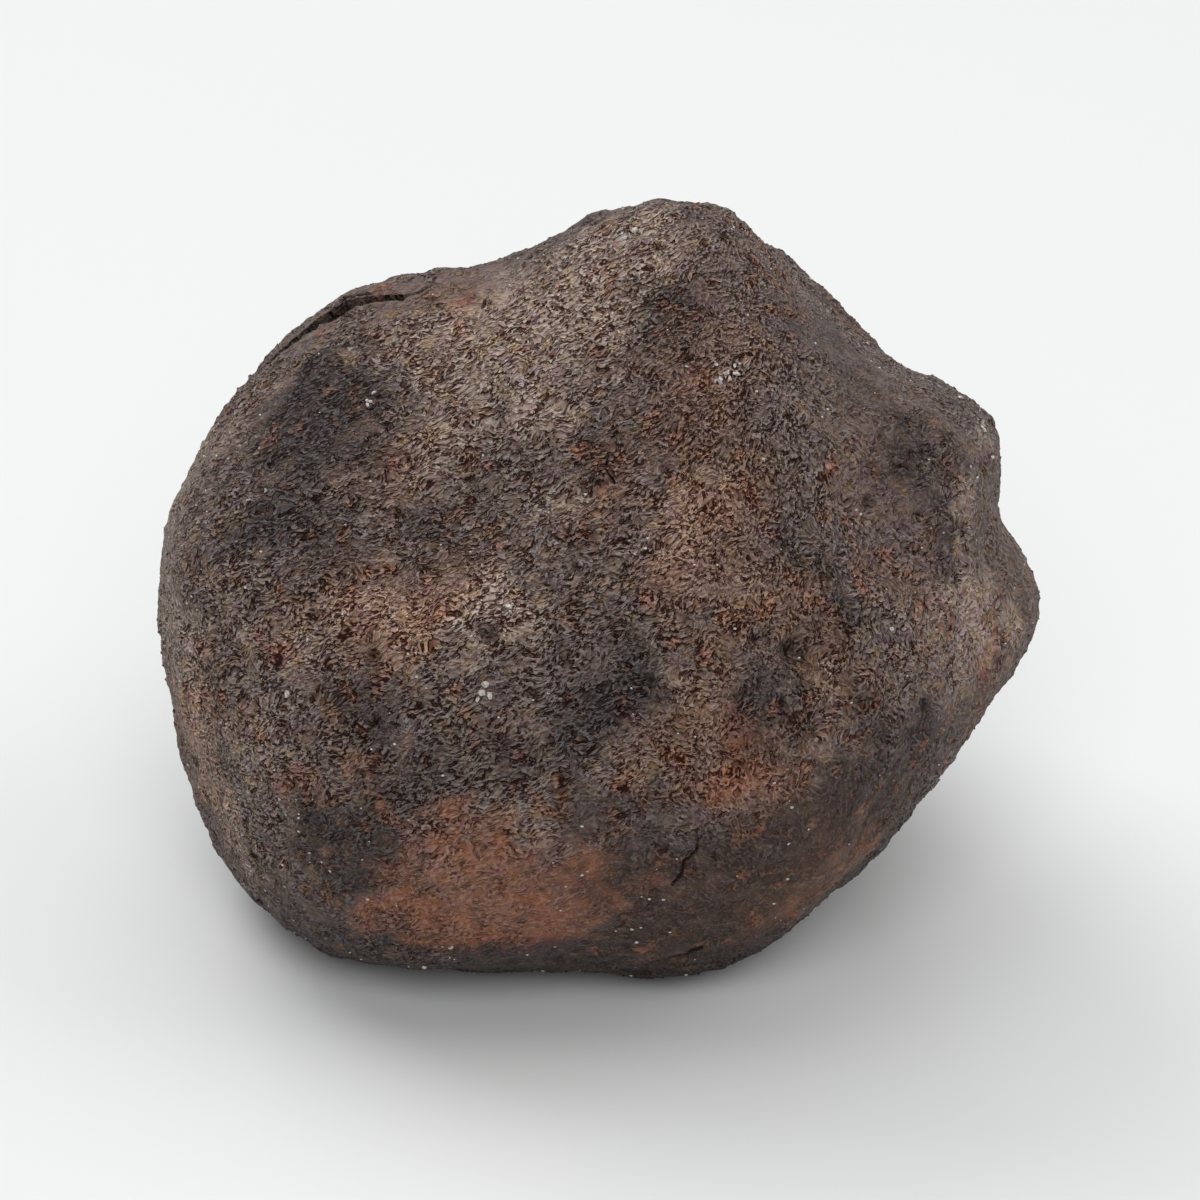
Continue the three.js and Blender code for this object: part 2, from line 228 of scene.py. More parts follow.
# Where the crust is stained or worn: (azimuth, elevation, radius in mm, strength) of each spot.
STAINS = {
    # The dark spots low on the stone and along its lower right rim are partly the crust's own
    # colour and partly painted shade.
    "charcoal_and_low_shade": [
        (-85, 32, 3.9, 1.0), (-67, 23, 3.4, 0.9), (-95, 38, 2.7, 1.0), (-70, 16, 1.8, 0.5),
        (-51, 27, 2.0, 0.4), (-41, 33, 2.3, 0.7), (3, 6, 3.2, 1.0), (8, 12, 2.2, 0.6),
        (3, 56, 1.9, 0.6), (12, 59, 1.9, 0.5), (42, 26, 2.6, 0.9), (45, 15, 2.4, 0.8),
        (29, 9, 2.9, 0.9), (24, 4, 2.0, 0.7), (-37, -18, 3.5, 1.0), (-26, -11, 2.6, 0.6),
        (-34, 0, 2.9, 0.7), (-15, 0, 2.3, 0.5), (0, 1, 2.3, 0.5), (9, -21, 3.9, 1.0),
        (20, -27, 4.1, 1.0), (28, -15, 3.5, 0.9), (42, -12, 3.7, 1.0), (56, -10, 2.7, 0.8),
        (2, -43, 3.7, 1.0), (21, -42, 4.1, 1.0), (-21, -41, 2.7, 0.6), (46, -3, 3.1, 0.8),
        (73, 28, 2.9, 0.7), (72, 34, 2.0, 0.5), (53, 75, 2.9, 0.6), (75, 57, 2.4, 0.5),
        (121, 73, 1.5, 0.8), (44, 48, 1.8, 0.4), (84, 46, 3.5, 0.5),
        (97, 48, 3.0, 0.5), (68, 18, 2.0, 0.6), (-170, 60, 4.0, 0.6),
        (57, -25, 3.5, 0.9), (-30, -36, 3.0, 0.8), (150, 5, 6.0, 0.9), (-165, 40, 5.0, 0.7),
        (110, -30, 5.0, 0.8), (-120, -20, 4.0, 0.8), (-140, 25, 4.0, 0.6), (175, -35, 5.0, 0.8),
        (-48, -38, 4.5, 0.9), (-20, -48, 5.0, 1.0), (25, -45, 4.5, 0.9), (-8, -50, 6.0, 1.0),
        (45, -35, 5.0, 0.9), (94, 29, 2.6, 0.5), (127, 33, 4.0, 0.5), (-16, -1, 1.8, 0.4),
        (48, -22, 3.0, 0.6), (-17, -43, 3.0, 0.7), (6, -46, 3.5, 0.9),
    ],
    # The pale spots along the stone's left rim are painted light on that rim; the others are pale
    # dust.
    "dusty_and_rim_lit": [
        (-77, 81, 5.1, 1.0), (136, 86, 3.4, 1.0), (-93, 67, 3.1, 0.8), (-65, 54, 2.7, 0.5),
        (-104, 41, 3.2, 0.5), (-55, -13, 3.2, 0.4), (-67, 9, 3.0, 0.4), (-35, 21, 2.2, 0.2),
        (-58, 50, 2.6, 0.35), (-107, 84, 3.0, 0.4), (92, 74, 2.6, 0.35),
        (127, 81, 1.8, 0.7), (-13, 70, 2.0, 0.4), (-33, 20, 3.0, 0.7), (-45, 14, 3.0, 0.6),
        (-21, 24, 2.4, 1.0), (-54, 8, 2.0, 0.5), (-84, 9, 2.0, 0.8), (-79, 3, 2.3, 1.0),
        (-72, -4, 2.7, 1.0), (-69, -13, 2.9, 1.0), (-66, -21, 2.7, 1.0), (-60, -26, 2.2, 0.8),
        (-55, -7, 2.7, 0.5), (69, 7, 3.0, 0.7), (74, 19, 1.6, 0.8), (71, 1, 2.4, 0.7),
        (58, 5, 2.0, 0.5), (21, 38, 2.9, 0.6), (16, 14, 2.4, 0.5), (17, 8, 2.0, 0.4),
        (9, -5, 1.8, 0.7), (29, -3, 2.7, 0.4), (21, -4, 2.0, 0.3), (37, 6, 2.0, 0.5),
        (-24, -22, 3.7, 0.6), (-8, -12, 2.3, 0.6), (-14, 45, 2.3, 0.5),
        (26, 24, 1.8, 0.4), (-20, 8, 1.4, 0.5), (-18, 17, 1.5, 0.5), (-70, 44, 2.0, 0.4),
        (86, 25, 1.5, 0.5), (-107, 57, 2.7, 0.6), (-95, 10, 4.0, 1.0), (-92, -5, 4.0, 1.0),
        (-88, -18, 4.0, 0.9), (-98, 24, 2.5, 0.7), (-120, 73, 3.5, 0.8), (180, 82, 4.0, 1.0),
        (-99, 55, 2.0, 0.6), (100, 5, 4.5, 0.7),
        (-170, 5, 5.0, 0.7), (130, 55, 4.0, 0.6),
    ],
    "umber": [
        (20, -27, 4.5, 0.7), (33, -20, 4.5, 0.7), (45, -18, 4.0, 0.7), (8, -38, 4.0, 0.6),
        (41, -25, 3.5, 0.9), (52, -18, 2.6, 0.7), (-64, -4, 2.4, 0.8), (-66, -20, 2.8, 0.8),
        (-60, -28, 2.4, 0.7), (-72, -12, 3.0, 0.8),
        (-40, 18, 4.1, 0.8), (-51, 13, 2.7, 0.6), (-33, 27, 2.7, 0.6), (-65, 37, 2.7, 0.7),
        (35, 58, 2.7, 1.0), (45, 67, 2.0, 0.8), (60, 63, 2.7, 0.6), (37, 48, 2.7, 0.6),
        (26, 44, 3.4, 0.6), (60, 35, 2.7, 0.5), (16, 34, 2.7, 0.8), (28, 30, 3.4, 0.7),
        (31, 23, 3.1, 0.8), (38, 13, 2.4, 0.9), (20, 13, 3.4, 0.7), (43, 5, 3.1, 0.7),
        (59, 14, 2.7, 0.6), (21, 0, 3.3, 1.0), (31, -4, 2.7, 0.5), (-17, 2, 2.0, 0.7),
        (-37, -4, 2.7, 0.5), (-47, -11, 1.6, 0.6), (-122, 56, 3.4, 0.7), (-1, 47, 1.9, 0.8),
        (8, 53, 1.8, 0.9), (-2, 24, 1.8, 0.5), (9, -3, 2.0, 0.5), (19, 69, 2.0, 0.5),
        (69, -4, 2.2, 0.9), (37, -25, 3.3, 0.9), (33, -33, 2.9, 0.8), (-5, -18, 2.7, 0.7),
        (-135, -10, 4.5, 0.8), (165, -20, 4.0, 0.8), (125, 30, 4.0, 0.7), (-160, 15, 4.0, 0.6),
        (105, 60, 3.0, 0.6), (-110, 15, 3.0, 0.5),
    ],
    "rust": [
        (-20, -24, 4.2, 1.0), (-27, -28, 3.1, 0.9), (-12, -30, 3.4, 0.9), (-18, -16, 2.4, 0.6),
        (0, -26, 2.4, 0.6), (-34, -30, 2.0, 0.7), (8, -25, 1.6, 0.5), (20, -1, 2.2, 1.0),
        (22, 7, 1.6, 0.7), (37, 59, 1.6, 0.8), (43, -26, 1.8, 0.6), (-24, -12, 1.2, 0.5),
        (-10, -14, 1.4, 0.5),
        (9, 53, 1.0, 0.6), (-2, 49, 1.0, 0.6), (39, 14, 1.1, 0.8), (69, -5, 1.5, 0.6),
        (38, -27, 2.4, 0.5), (31, -34, 2.0, 0.5), (-135, -12, 3.0, 0.8), (165, -20, 2.5, 0.8),
        (125, 30, 2.0, 0.7), (-39, -2, 1.0, 0.8), (-46, -11, 1.1, 0.7), (-32, -13, 1.0, 0.8),
    ],
    "pale": [
        (86, 24, 2.0, 0.6), (95, 26, 1.8, 0.7), (141, 79, 0.7, 1.0), (44, 58, 0.8, 0.9),
        (-105, 43, 1.6, 0.4), (-150, 15, 1.6, 0.7),
    ],
    "worn": [
        (-14, -23, 3.6, 0.8), (-26, -27, 3.0, 0.8), (-3, -28, 2.8, 0.7), (-128, 64, 2.8, 1.0),
        (-122, 47, 2.4, 1.0), (-116, 34, 2.2, 1.0), (-98, 30, 1.6, 0.7), (95, 50, 3.0, 0.8),
        (85, 40, 2.4, 0.6), (-138, 60, 3.0, 0.8), (170, 60, 5.0, 0.6), (8, -20, 4.0, 0.8),
        (28, -14, 4.5, 0.7), (42, -12, 4.5, 0.8), (22, -32, 5.0, 0.8), (40, -28, 5.0, 0.8),
        (2, -42, 5.0, 0.8), (-18, -42, 4.5, 0.7), (-37, -20, 3.5, 0.6), (-45, -32, 4.0, 0.7),
        (-84, 30, 5.0, 0.25), (-95, 41, 4.0, 0.2), (-100, 0, 6.0, 0.4), (-80, 8, 4.0, 0.3),
        (-72, -14, 4.0, 0.4), (70, 29, 4.5, 0.5), (75, 42, 4.0, 0.6), (85, 24, 3.0, 0.6),
        (61, 24, 4.0, 0.3), (80, 5, 5.0, 0.7), (62, -4, 4.0, 0.6), (120, 10, 6.0, 0.5),
        (-150, -10, 6.0, 0.5),
    ],
}

# A spot fades out at this many times its radius, and bumps of these sizes and reaches make its
# edge ragged. The seed gives the same edges each run.
SPOT_SPREAD = 1.3
RAGGED_EDGES = [(2.6 * MM, 2.0 * MM), (0.8 * MM, 0.9 * MM)]
RAGGED_SEED = 2


def mark(mesh, name, values):
    """Keeps a value at each of a mesh's points under a name."""
    kept = mesh.attributes.new(name, "FLOAT", "POINT")
    kept.data.foreach_set("value", values.astype(np.float32))


def stray(points, size, reach):
    """Shifts for points by a noise with bumps of a size, so that what is drawn there is ragged."""
    return np.array([noise.noise_vector(Vector(point) / size) for point in points]) * reach


mark(stone.data, "sunk", sunk)
noise.seed_set(RAGGED_SEED)
ragged = points
for size, reach in RAGGED_EDGES:
    ragged = ragged + stray(points, size, reach)
for name, spots in STAINS.items():
    cover = np.zeros(len(points))
    for azimuth, elevation, radius, strength in spots:
        gap = np.linalg.norm(ragged - np.array(on_skin(azimuth, elevation)[0]), axis=1)
        fall = np.clip(1 - (gap / (SPOT_SPREAD * radius * MM)) ** 2, 0.0, 1.0) ** 2
        cover = 1 - (1 - cover) * (1 - strength * fall)
    mark(stone.data, name, cover)


class Wire:
    """A socket of a node tree. Sums on it add Math nodes, and add() makes any other node."""

    def __init__(self, socket):
        self.socket = socket

    @staticmethod
    def add(tree, kind, settings=None, inputs=None):
        """Adds a node, sets it and then its sockets, and gives its first output in use."""
        node = tree.nodes.new(kind)
        for name, value in (settings or {}).items():
            setattr(node, name, value)
        for name, value in (inputs or {}).items():
            if isinstance(name, int):
                socket = node.inputs[name]
            else:
                socket = next(s for s in node.inputs if s.enabled and s.name == name)
            if isinstance(value, Wire):
                tree.links.new(value.socket, socket)
            else:
                socket.default_value = value
        return Wire(next((s for s in node.outputs if s.enabled), None))

    @staticmethod
    def math(operation, first, second=0.0):
        """Adds a Math node on two values, of which at least one is a socket."""
        tree = next(w.socket.id_data for w in (first, second) if isinstance(w, Wire))
        settings = {"operation": operation}
        return Wire.add(tree, "ShaderNodeMath", settings, {0: first, 1: second})

    def out(self, name):
        """Another output of the same node."""
        return Wire(self.socket.node.outputs[name])

    def __add__(self, other):
        return Wire.math("ADD", self, other)

    def __sub__(self, other):
        return Wire.math("SUBTRACT", self, other)

    def __mul__(self, other):
        return Wire.math("MULTIPLY", self, other)

    def __truediv__(self, other):
        return Wire.math("DIVIDE", self, other)

    def __rsub__(self, other):
        return Wire.math("SUBTRACT", other, self)

    def __rtruediv__(self, other):
        return Wire.math("DIVIDE", other, self)

    __radd__ = __add__
    __rmul__ = __mul__

    def climb(self, low, high, to_low=0.0, to_high=1.0):
        """This value's smooth climb, as it goes from low to high, between two other values."""
        return Wire.add(
            self.socket.id_data,
            "ShaderNodeMapRange",
            {"interpolation_type": "SMOOTHSTEP"},
            {"Value": self, 1: low, 2: high, 3: to_low, 4: to_high},
        )


def vector_sum(first, second):
    """The sum of a vector and another, which may be plain numbers."""
    return Wire.add(
        first.socket.id_data, "ShaderNodeVectorMath", {"operation": "ADD"}, {0: first, 1: second}
    )


def scaled(vector, factor):
    """A vector times a factor."""
    inputs = {0: vector, "Scale": factor}
    return Wire.add(vector.socket.id_data, "ShaderNodeVectorMath", {"operation": "SCALE"}, inputs)


def bumpy(place, size, detail=2.0, roughness=0.5, seed=0):
    """Fractal noise around 0.5, with bumps of about the given size, taken at a seed's place."""
    return Wire.add(
        place.socket.id_data,
        "ShaderNodeTexNoise",
        {},
        {
            "Vector": vector_sum(place, (31.7 * seed, 17.3 * seed, 11.9 * seed)),
            "Scale": 1.0 / size,
            "Detail": detail,
            "Roughness": roughness,
        },
    )


def size_tree(name, sizes):
    """A Geometry Nodes tree that takes and gives a geometry, with a named input for each size."""
    tree = bpy.data.node_groups.new(name, "GeometryNodeTree")
    tree.interface.new_socket("Geometry", in_out="OUTPUT", socket_type="NodeSocketGeometry")
    tree.interface.new_socket("Geometry", in_out="INPUT", socket_type="NodeSocketGeometry")
    for size in sizes:
        tree.interface.new_socket(size, in_out="INPUT", socket_type="NodeSocketFloat")
    return tree, Wire.add(tree, "NodeGroupInput")


def run_tree(piece, tree, sizes):
    """Runs a tree on a piece with its sizes, and keeps the result as a plain mesh."""
    modifier = piece.modifiers.new(tree.name, "NODES")
    modifier.node_group = tree
    for item in tree.interface.items_tree:
        if item.in_out == "INPUT" and item.name in sizes:
            modifier[item.identifier] = sizes[item.name]
    settle(piece)


def named(tree, name):
    """A value that is stored at the points of the skin."""
    settings = {"data_type": "FLOAT"}
    return Wire.add(tree, "GeometryNodeInputNamedAttribute", settings, {"Name": name})


def stored(geometry, name, value, domain="POINT", kind="FLOAT"):
    """The geometry with a value kept on it under a name."""
    return Wire.add(
        geometry.socket.id_data,
        "GeometryNodeStoreNamedAttribute",
        {"data_type": kind, "domain": domain},
        {"Geometry": geometry, "Name": name, "Value": value},
    )


# (size in mm, detail, seed) of the crust's broad patches, its mottling and its shifts of hue.
PATCHES = {"patch": (2.6, 3.0, 2), "mottle": (0.9, 1.5, 6), "hue": (0.6, 1.5, 9)}
PATCH_ROUGHNESS = 0.6

# The strokes of the grain: how steeply they climb, and in mm the size and reach of their drift,
# the height that they are laid out from, and how far right of the middle they are fully turned.
STROKE_CLIMB = 0.25
STROKE_DRIFT_SIZE = 1.0
STROKE_DRIFT_REACH = 0.70
STROKE_CENTRE = 15.0
STROKE_TURN = 9.0


def stored_weathering(geometry):
    """Stores what the crust's finish needs at each point: its patches, and its place along the
    strokes of the grain. They run across the stone's left and middle, climbing to the right, and
    turn upright on its right."""
    tree = geometry.socket.id_data
    place = scaled(Wire.add(tree, "GeometryNodeInputPosition"), 1 / MM)
    drift = bumpy(place, STROKE_DRIFT_SIZE, detail=0.5, seed=5).out("Color")
    drift = scaled(vector_sum(drift, (-0.5, -0.5, -0.5)), STROKE_DRIFT_REACH)
    parts = Wire.add(tree, "ShaderNodeSeparateXYZ", {}, {"Vector": vector_sum(place, drift)})
    across, height = parts.out("X"), parts.out("Z") - STROKE_CENTRE
    turned = across.climb(0.0, STROKE_TURN)
    combed = Wire.add(
        tree,
        "ShaderNodeCombineXYZ",
        {},
        {
            "X": across * (turned * 0.22 + 0.82),
            "Y": parts.out("Y"),
            "Z": height * (1.06 - turned * 0.24) - across * (1.0 - turned) * STROKE_CLIMB,
        },
    )
    for name, (size, detail, seed) in PATCHES.items():
        geometry = stored(geometry, name, bumpy(place, size, detail, PATCH_ROUGHNESS, seed))
    return stored(geometry, "combed", combed, kind="FLOAT_VECTOR")


# The grain's ridges and the seams between them: their sizes in mm, and how deep they are.
RIDGE_SIZE = 0.19
SEAM_SIZE = 0.17
GRAIN_DEPTH = 0.18 * MM


def crust_material():
    """Weathered melt crust: dark grey and brown, stained by rust from the stone's iron grains.
    Highlight and shade are painted into its grain, cracks and pits, with a painted sheen at
    grazing angles.
    """
    material = bpy.data.materials.new("weathered_crust")
    material.use_nodes = True
    tree = material.node_tree
    tree.nodes.clear()

    def seen(name):
        return Wire.add(tree, "ShaderNodeAttribute", {"attribute_name": name}).out("Fac")

    def tinted(under, over, share):
        inputs = {"Factor": share, "A": under, "B": over}
        return Wire.add(tree, "ShaderNodeMix", {"data_type": "RGBA"}, inputs)

    def toned(under, factors):
        inputs = {0: under, 1: factors}
        return Wire.add(tree, "ShaderNodeVectorMath", {"operation": "MULTIPLY"}, inputs)

    patch = seen("patch")
    mottle = seen("mottle")
    hue = seen("hue")
    worn = seen("worn")
    tone = seen("tone")
    combed = Wire.add(tree, "ShaderNodeAttribute", {"attribute_name": "combed"}).out("Vector")

    # The grain is a crust of fine curled ridges, with seams winding between them; shade is painted
    # into the seams.
    first = bumpy(combed, RIDGE_SIZE, detail=0.7, roughness=0.6, seed=1)
    second = bumpy(combed, SEAM_SIZE, detail=0.7, roughness=0.6, seed=8)
    ridges = Wire.math("ABSOLUTE", first - 0.5).climb(0.15, 0.0) * second.climb(0.40, 0.60)
    seams = Wire.math("ABSOLUTE", second - 0.5).climb(0.12, 0.0) * first.climb(0.60, 0.40)
    body = first.climb(0.30, 0.70) * 0.5 + second.climb(0.30, 0.70) * 0.5
    relief = (body * 0.8 + ridges * 0.35 - seams * 0.45) * (1.0 - worn * 0.6)
    level = {"Height": relief, "Distance": GRAIN_DEPTH, "Strength": 1.0}
    bump = Wire.add(tree, "ShaderNodeBump", {}, level)

    charcoal_and_low_shade = (0.052, 0.040, 0.039, 1.0)
    brown = (0.175, 0.128, 0.113, 1.0)
    rust = (0.340, 0.140, 0.080, 1.0)
    dusty_and_rim_lit = (0.410, 0.308, 0.253, 1.0)
    pale = (0.480, 0.450, 0.400, 1.0)
    painted_sheen_colour = (0.252, 0.225, 0.210, 1.0)
    painted_deep_shade = (0.014, 0.006, 0.004, 1.0)

    # The stains' edges are broken up, and the hue shifts to ochre and to plum between them.
    broken = (patch - 0.5) * 1.2 + (mottle - 0.5) * 1.3 + (first - 0.5) * 1.1
    rusted = (seen("umber") + broken * 1.2).climb(0.05, 0.95) * 0.80
    colour = tinted(brown, dusty_and_rim_lit, (seen("dusty_and_rim_lit") - broken * 0.7).climb(0.05, 1.00) * 0.90)
    colour = tinted(colour, charcoal_and_low_shade, (seen("charcoal_and_low_shade") + broken * 0.8).climb(0.05, 0.95) * 0.92)
    colour = tinted(colour, toned(colour, (1.22, 0.92, 0.72)), rusted)
    colour = tinted(colour, rust, (seen("rust") - broken * 1.0).climb(0.05, 1.35) * 0.94)
    colour = tinted(colour, pale, (seen("pale") + broken * 0.7).climb(0.45, 0.95) * 0.75)
    bloom = (mottle * 0.65 + patch * 0.35).climb(0.52, 0.66) * (rusted * 0.45 + 0.22)
    colour = tinted(colour, rust, bloom)
    colour = tinted(colour, toned(colour, (1.14, 1.06, 0.80)), hue.climb(0.50, 0.68) * 0.85)
    colour = tinted(colour, toned(colour, (0.98, 0.86, 1.05)), hue.climb(0.48, 0.32) * 0.75)

    # Painted highlight and shade: the ridges, the high grain and each facet that faces the light
    # from above and to the left are painted lighter; the seams, the low grain, the pits and each
    # facet turned away are painted darker. Both are weaker where the crust is worn. Each crumb's
    # own random tone is mixed in, and worn places are a little darker.
    painted_light_direction = (-0.45, 0.15, 0.85)

    def toward_painted_light(normal):
        inputs = {0: normal, 1: painted_light_direction}
        return Wire.add(tree, "ShaderNodeVectorMath", {"operation": "DOT_PRODUCT"}, inputs)

    painted_facet_light = toward_painted_light(bump) - toward_painted_light(Wire.add(tree, "ShaderNodeNewGeometry").out("Normal"))
    painted_relief_strength = (1.0 - worn * 0.70) * mottle.climb(0.32, 0.60, 0.60, 1.38)
    light = body.climb(0.50, 0.90) * 0.25 + ridges * 0.55 + painted_facet_light.climb(0.05, 0.55) * 0.50
    light = light + tone.climb(0.1, 1.0) * 0.15
    dark = body.climb(0.54, 0.20) * 0.42 + seams * 0.56 + painted_facet_light.climb(-0.05, -0.55) * 0.50
    dark = dark + (0.0 - tone).climb(0.1, 1.0) * 0.15 + seen("hollow").climb(0.0, 0.6) * 0.45
    dark = dark + worn * 0.15

    # Seen along the skin, the crust is painted with a pale sheen, stronger on its tan stains, and
    # its painted shade is weakened there.
    painted_sheen_facing = Wire.add(tree, "ShaderNodeLayerWeight", {}, {"Blend": 0.5}).out("Facing")
    dark = dark * painted_relief_strength * painted_sheen_facing.climb(0.60, 1.00, 1.0, 0.3)
    # The painted highlight is a paler, greyer copy of the colour, and the painted shade a deep
    # brown one.
    painted_highlight_colour = vector_sum(toned(colour, (1.55, 1.75, 1.85)), (0.077, 0.077, 0.078))
    painted_shade_colour = toned(colour, (0.12, 0.045, 0.025))
    colour = tinted(tinted(colour, painted_highlight_colour, light * painted_relief_strength), painted_shade_colour, dark)
    colour = tinted(colour, painted_sheen_colour, painted_sheen_facing.climb(0.40, 1.00) * (seen("dusty_and_rim_lit") * 0.32 + 0.30))
    # Cracks, pits and the foot by the table are painted with deep shade.
    colour = tinted(colour, painted_deep_shade, seen("sunk") * 0.97)
    surface = Wire.add(
        tree,
        "ShaderNodeBsdfPrincipled",
        {},
        {
            "Base Color": colour,
            "Roughness": ridges.climb(0.0, 1.0, 0.8, 0.5),
            "Diffuse Roughness": 1.0,
            "Specular IOR Level": 0.15,
            "Normal": bump,
        },
    )
    Wire.add(tree, "ShaderNodeOutputMaterial", {}, {"Surface": surface})
    return material


crust = crust_material()

# How high the rind's swells and grains stand and how deep its scattered pits are, with their
# sizes and spacing in mm. A pit's radius is the least share of the spacing, and by chance up to
# so much more.
RELIEF = {
    "Swell height": 0.32 * MM,
    "Swell size": 2.0,
    "Grain height": 0.22 * MM,
    "Grain size": 0.50,
    "Pit depth": 0.16 * MM,
    "Pit spacing": 1.3,
}
RELIEF_ROUGHNESS = 0.55
LEAST_PIT = 0.02
MORE_PIT = 0.30


def relief_tree():
    """The rind's relief of low swells, coarse grain and scattered pits, less where it is worn."""
    tree, given = size_tree("crust relief", RELIEF)
    place = scaled(Wire.add(tree, "GeometryNodeInputPosition"), 1 / MM)
    normal = Wire.add(tree, "GeometryNodeInputNormal")
    rough = 1.0 - Wire.math("MAXIMUM", named(tree, "worn") * 0.7, named(tree, "sunk"))

    def bumps(size, detail, seed):
        return (bumpy(place, given.out(size), detail, RELIEF_ROUGHNESS, seed) - 0.5) * 2.0

    pit_field = Wire.add(
        tree,
        "ShaderNodeTexVoronoi",
        {},
        {"Vector": place, "Scale": 1.0 / given.out("Pit spacing")},
    )
    lot = Wire.add(tree, "FunctionNodeSeparateColor", {}, {"Color": pit_field.out("Color")})
    pits = (pit_field / (lot * MORE_PIT + LEAST_PIT)).climb(1.0, 0.1)
    swells = bumps("Swell size", 2.0, 3)
    grains = bumps("Grain size", 2.0, 4)
    height = swells * given.out("Swell height") + grains * given.out("Grain height") * rough
    height = height - pits * given.out("Pit depth") * rough
    moved = vector_sum(Wire.add(tree, "GeometryNodeInputPosition"), scaled(normal, height))
    parts = Wire.add(tree, "ShaderNodeSeparateXYZ", {}, {"Vector": moved})
    lowest = Wire.math("MAXIMUM", parts.out("Z"), 0.0)
    kept = {"X": parts.out("X"), "Y": parts.out("Y"), "Z": lowest}
    settled = Wire.add(tree, "ShaderNodeCombineXYZ", {}, kept)
    # The pits and the low grain are kept as hollow, where the crust is painted with shade.
    geometry = stored(given.out("Geometry"), "hollow", pits * 0.9 - grains)
    geometry = stored_weathering(geometry)
    inputs = {"Geometry": geometry, "Position": settled}
    geometry = Wire.add(tree, "GeometryNodeSetPosition", {}, inputs)
    inputs = {"Geometry": geometry, "Material": crust}
    geometry = Wire.add(tree, "GeometryNodeSetMaterial", {}, inputs)
    Wire.add(tree, "NodeGroupOutput", {}, {"Geometry": geometry})
    return tree


run_tree(stone, relief_tree(), RELIEF)
bpy.context.view_layer.update()
skin = BVHTree.FromObject(stone, bpy.context.evaluated_depsgraph_get())
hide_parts("stone")
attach(stone, "root")


# ---------------------------------------------------------------------------------------------
# The granules and crumbs. Knots of melted crust and hard mineral grains that stand out of the
# weathered rind, more than half sunk in it, and share its colours: large rounded ones, with
# small angular ones between them.
# ---------------------------------------------------------------------------------------------
GRANULES = {
    "Spacing": 0.50 * MM,
    "Smallest": 0.08 * MM,
    "Largest": 0.15 * MM,
    "Flatness": 0.5,
    "Knock": 0.20 * MM,
}
CRUMBS = {
    "Spacing": 0.28 * MM,
    "Smallest": 0.06 * MM,
    "Largest": 0.11 * MM,
    "Flatness": 0.6,
    "Knock": 0.20 * MM,
}

# The knots can't lie closer than their spacing, and this many are tried on a square metre. Their
# middles lie under the skin by this share of their half thickness. They are longer or shorter
# than they are wide, lean over by an angle in radians, and are turned any way round. The bumps
# that knock them out of true have a size in mm.
KNOTS_TRIED = 3.0e7
KNOT_SINK = 0.5
KNOT_STRETCH = (0.7, 1.5)
KNOT_LEAN = 0.4
FULL_TURN = 6.283
KNOCK_SIZE = 0.16


def granule_tree(name, sizes, shape, shape_sizes, seed):
    """Strews knots of one shape over the rind where it isn't worn, turned and sized by chance,
    sunk in it and knocked out of true."""
    tree, given = size_tree(name, sizes)

    def lot(low, high, share, kind="FLOAT"):
        inputs = {"Min": low, "Max": high, "Seed": seed + share}
        return Wire.add(tree, "FunctionNodeRandomValue", {"data_type": kind}, inputs)

    bare = 1.0 - Wire.math("MAXIMUM", named(tree, "worn"), named(tree, "sunk"))
    scatter = Wire.add(
        tree,
        "GeometryNodeDistributePointsOnFaces",
        {"distribute_method": "POISSON"},
        {
            "Mesh": given.out("Geometry"),
            "Distance Min": given.out("Spacing"),
            "Density Max": KNOTS_TRIED,
            "Density Factor": bare,
            "Seed": seed,
        },
    )
    least, most = (-KNOT_LEAN, -KNOT_LEAN, 0.0), (KNOT_LEAN, KNOT_LEAN, FULL_TURN)
    inputs = {
        "Rotation": scatter.out("Rotation"),
        "Rotate By": lot(least, most, 1, "FLOAT_VECTOR"),
    }
    spin = Wire.add(tree, "FunctionNodeRotateRotation", {"rotation_space": "LOCAL"}, inputs)
    bulk = lot(given.out("Smallest"), given.out("Largest"), 2)
    size = Wire.add(
        tree,
        "ShaderNodeCombineXYZ",
        {},
        {"X": bulk * lot(*KNOT_STRETCH, 3), "Y": bulk, "Z": bulk * given.out("Flatness")},
    )
    sink = scaled(scatter.out("Normal"), bulk * given.out("Flatness") * -KNOT_SINK)
    inputs = {"Geometry": scatter, "Offset": sink}
    sunk_points = Wire.add(tree, "GeometryNodeSetPosition", {}, inputs)
    placed = Wire.add(
        tree,
        "GeometryNodeInstanceOnPoints",
        {},
        {
            "Points": sunk_points,
            "Instance": Wire.add(tree, shape, {}, shape_sizes),
            "Rotation": spin,
            "Scale": size,
        },
    )
    toned = stored(placed, "tone", lot(-1.0, 1.0, 4), "INSTANCE")
    solid = Wire.add(tree, "GeometryNodeRealizeInstances", {}, {"Geometry": toned})
    place = scaled(Wire.add(tree, "GeometryNodeInputPosition"), 1 / MM)
    knock = bumpy(place, KNOCK_SIZE, detail=1.0, seed=seed).out("Color")
    knock = scaled(vector_sum(knock, (-0.5, -0.5, -0.5)), given.out("Knock"))
    inputs = {"Geometry": solid, "Offset": knock}
    solid = Wire.add(tree, "GeometryNodeSetPosition", {}, inputs)
    solid = stored_weathering(solid)
    solid = Wire.add(tree, "GeometryNodeSetMaterial", {}, {"Geometry": solid, "Material": crust})
    Wire.add(tree, "NodeGroupOutput", {}, {"Geometry": solid})
    return tree


ball = ("GeometryNodeMeshIcoSphere", {"Radius": 1.0, "Subdivisions": 1})
chip = ("GeometryNodeMeshUVSphere", {"Radius": 1.0, "Segments": 4, "Rings": 2})

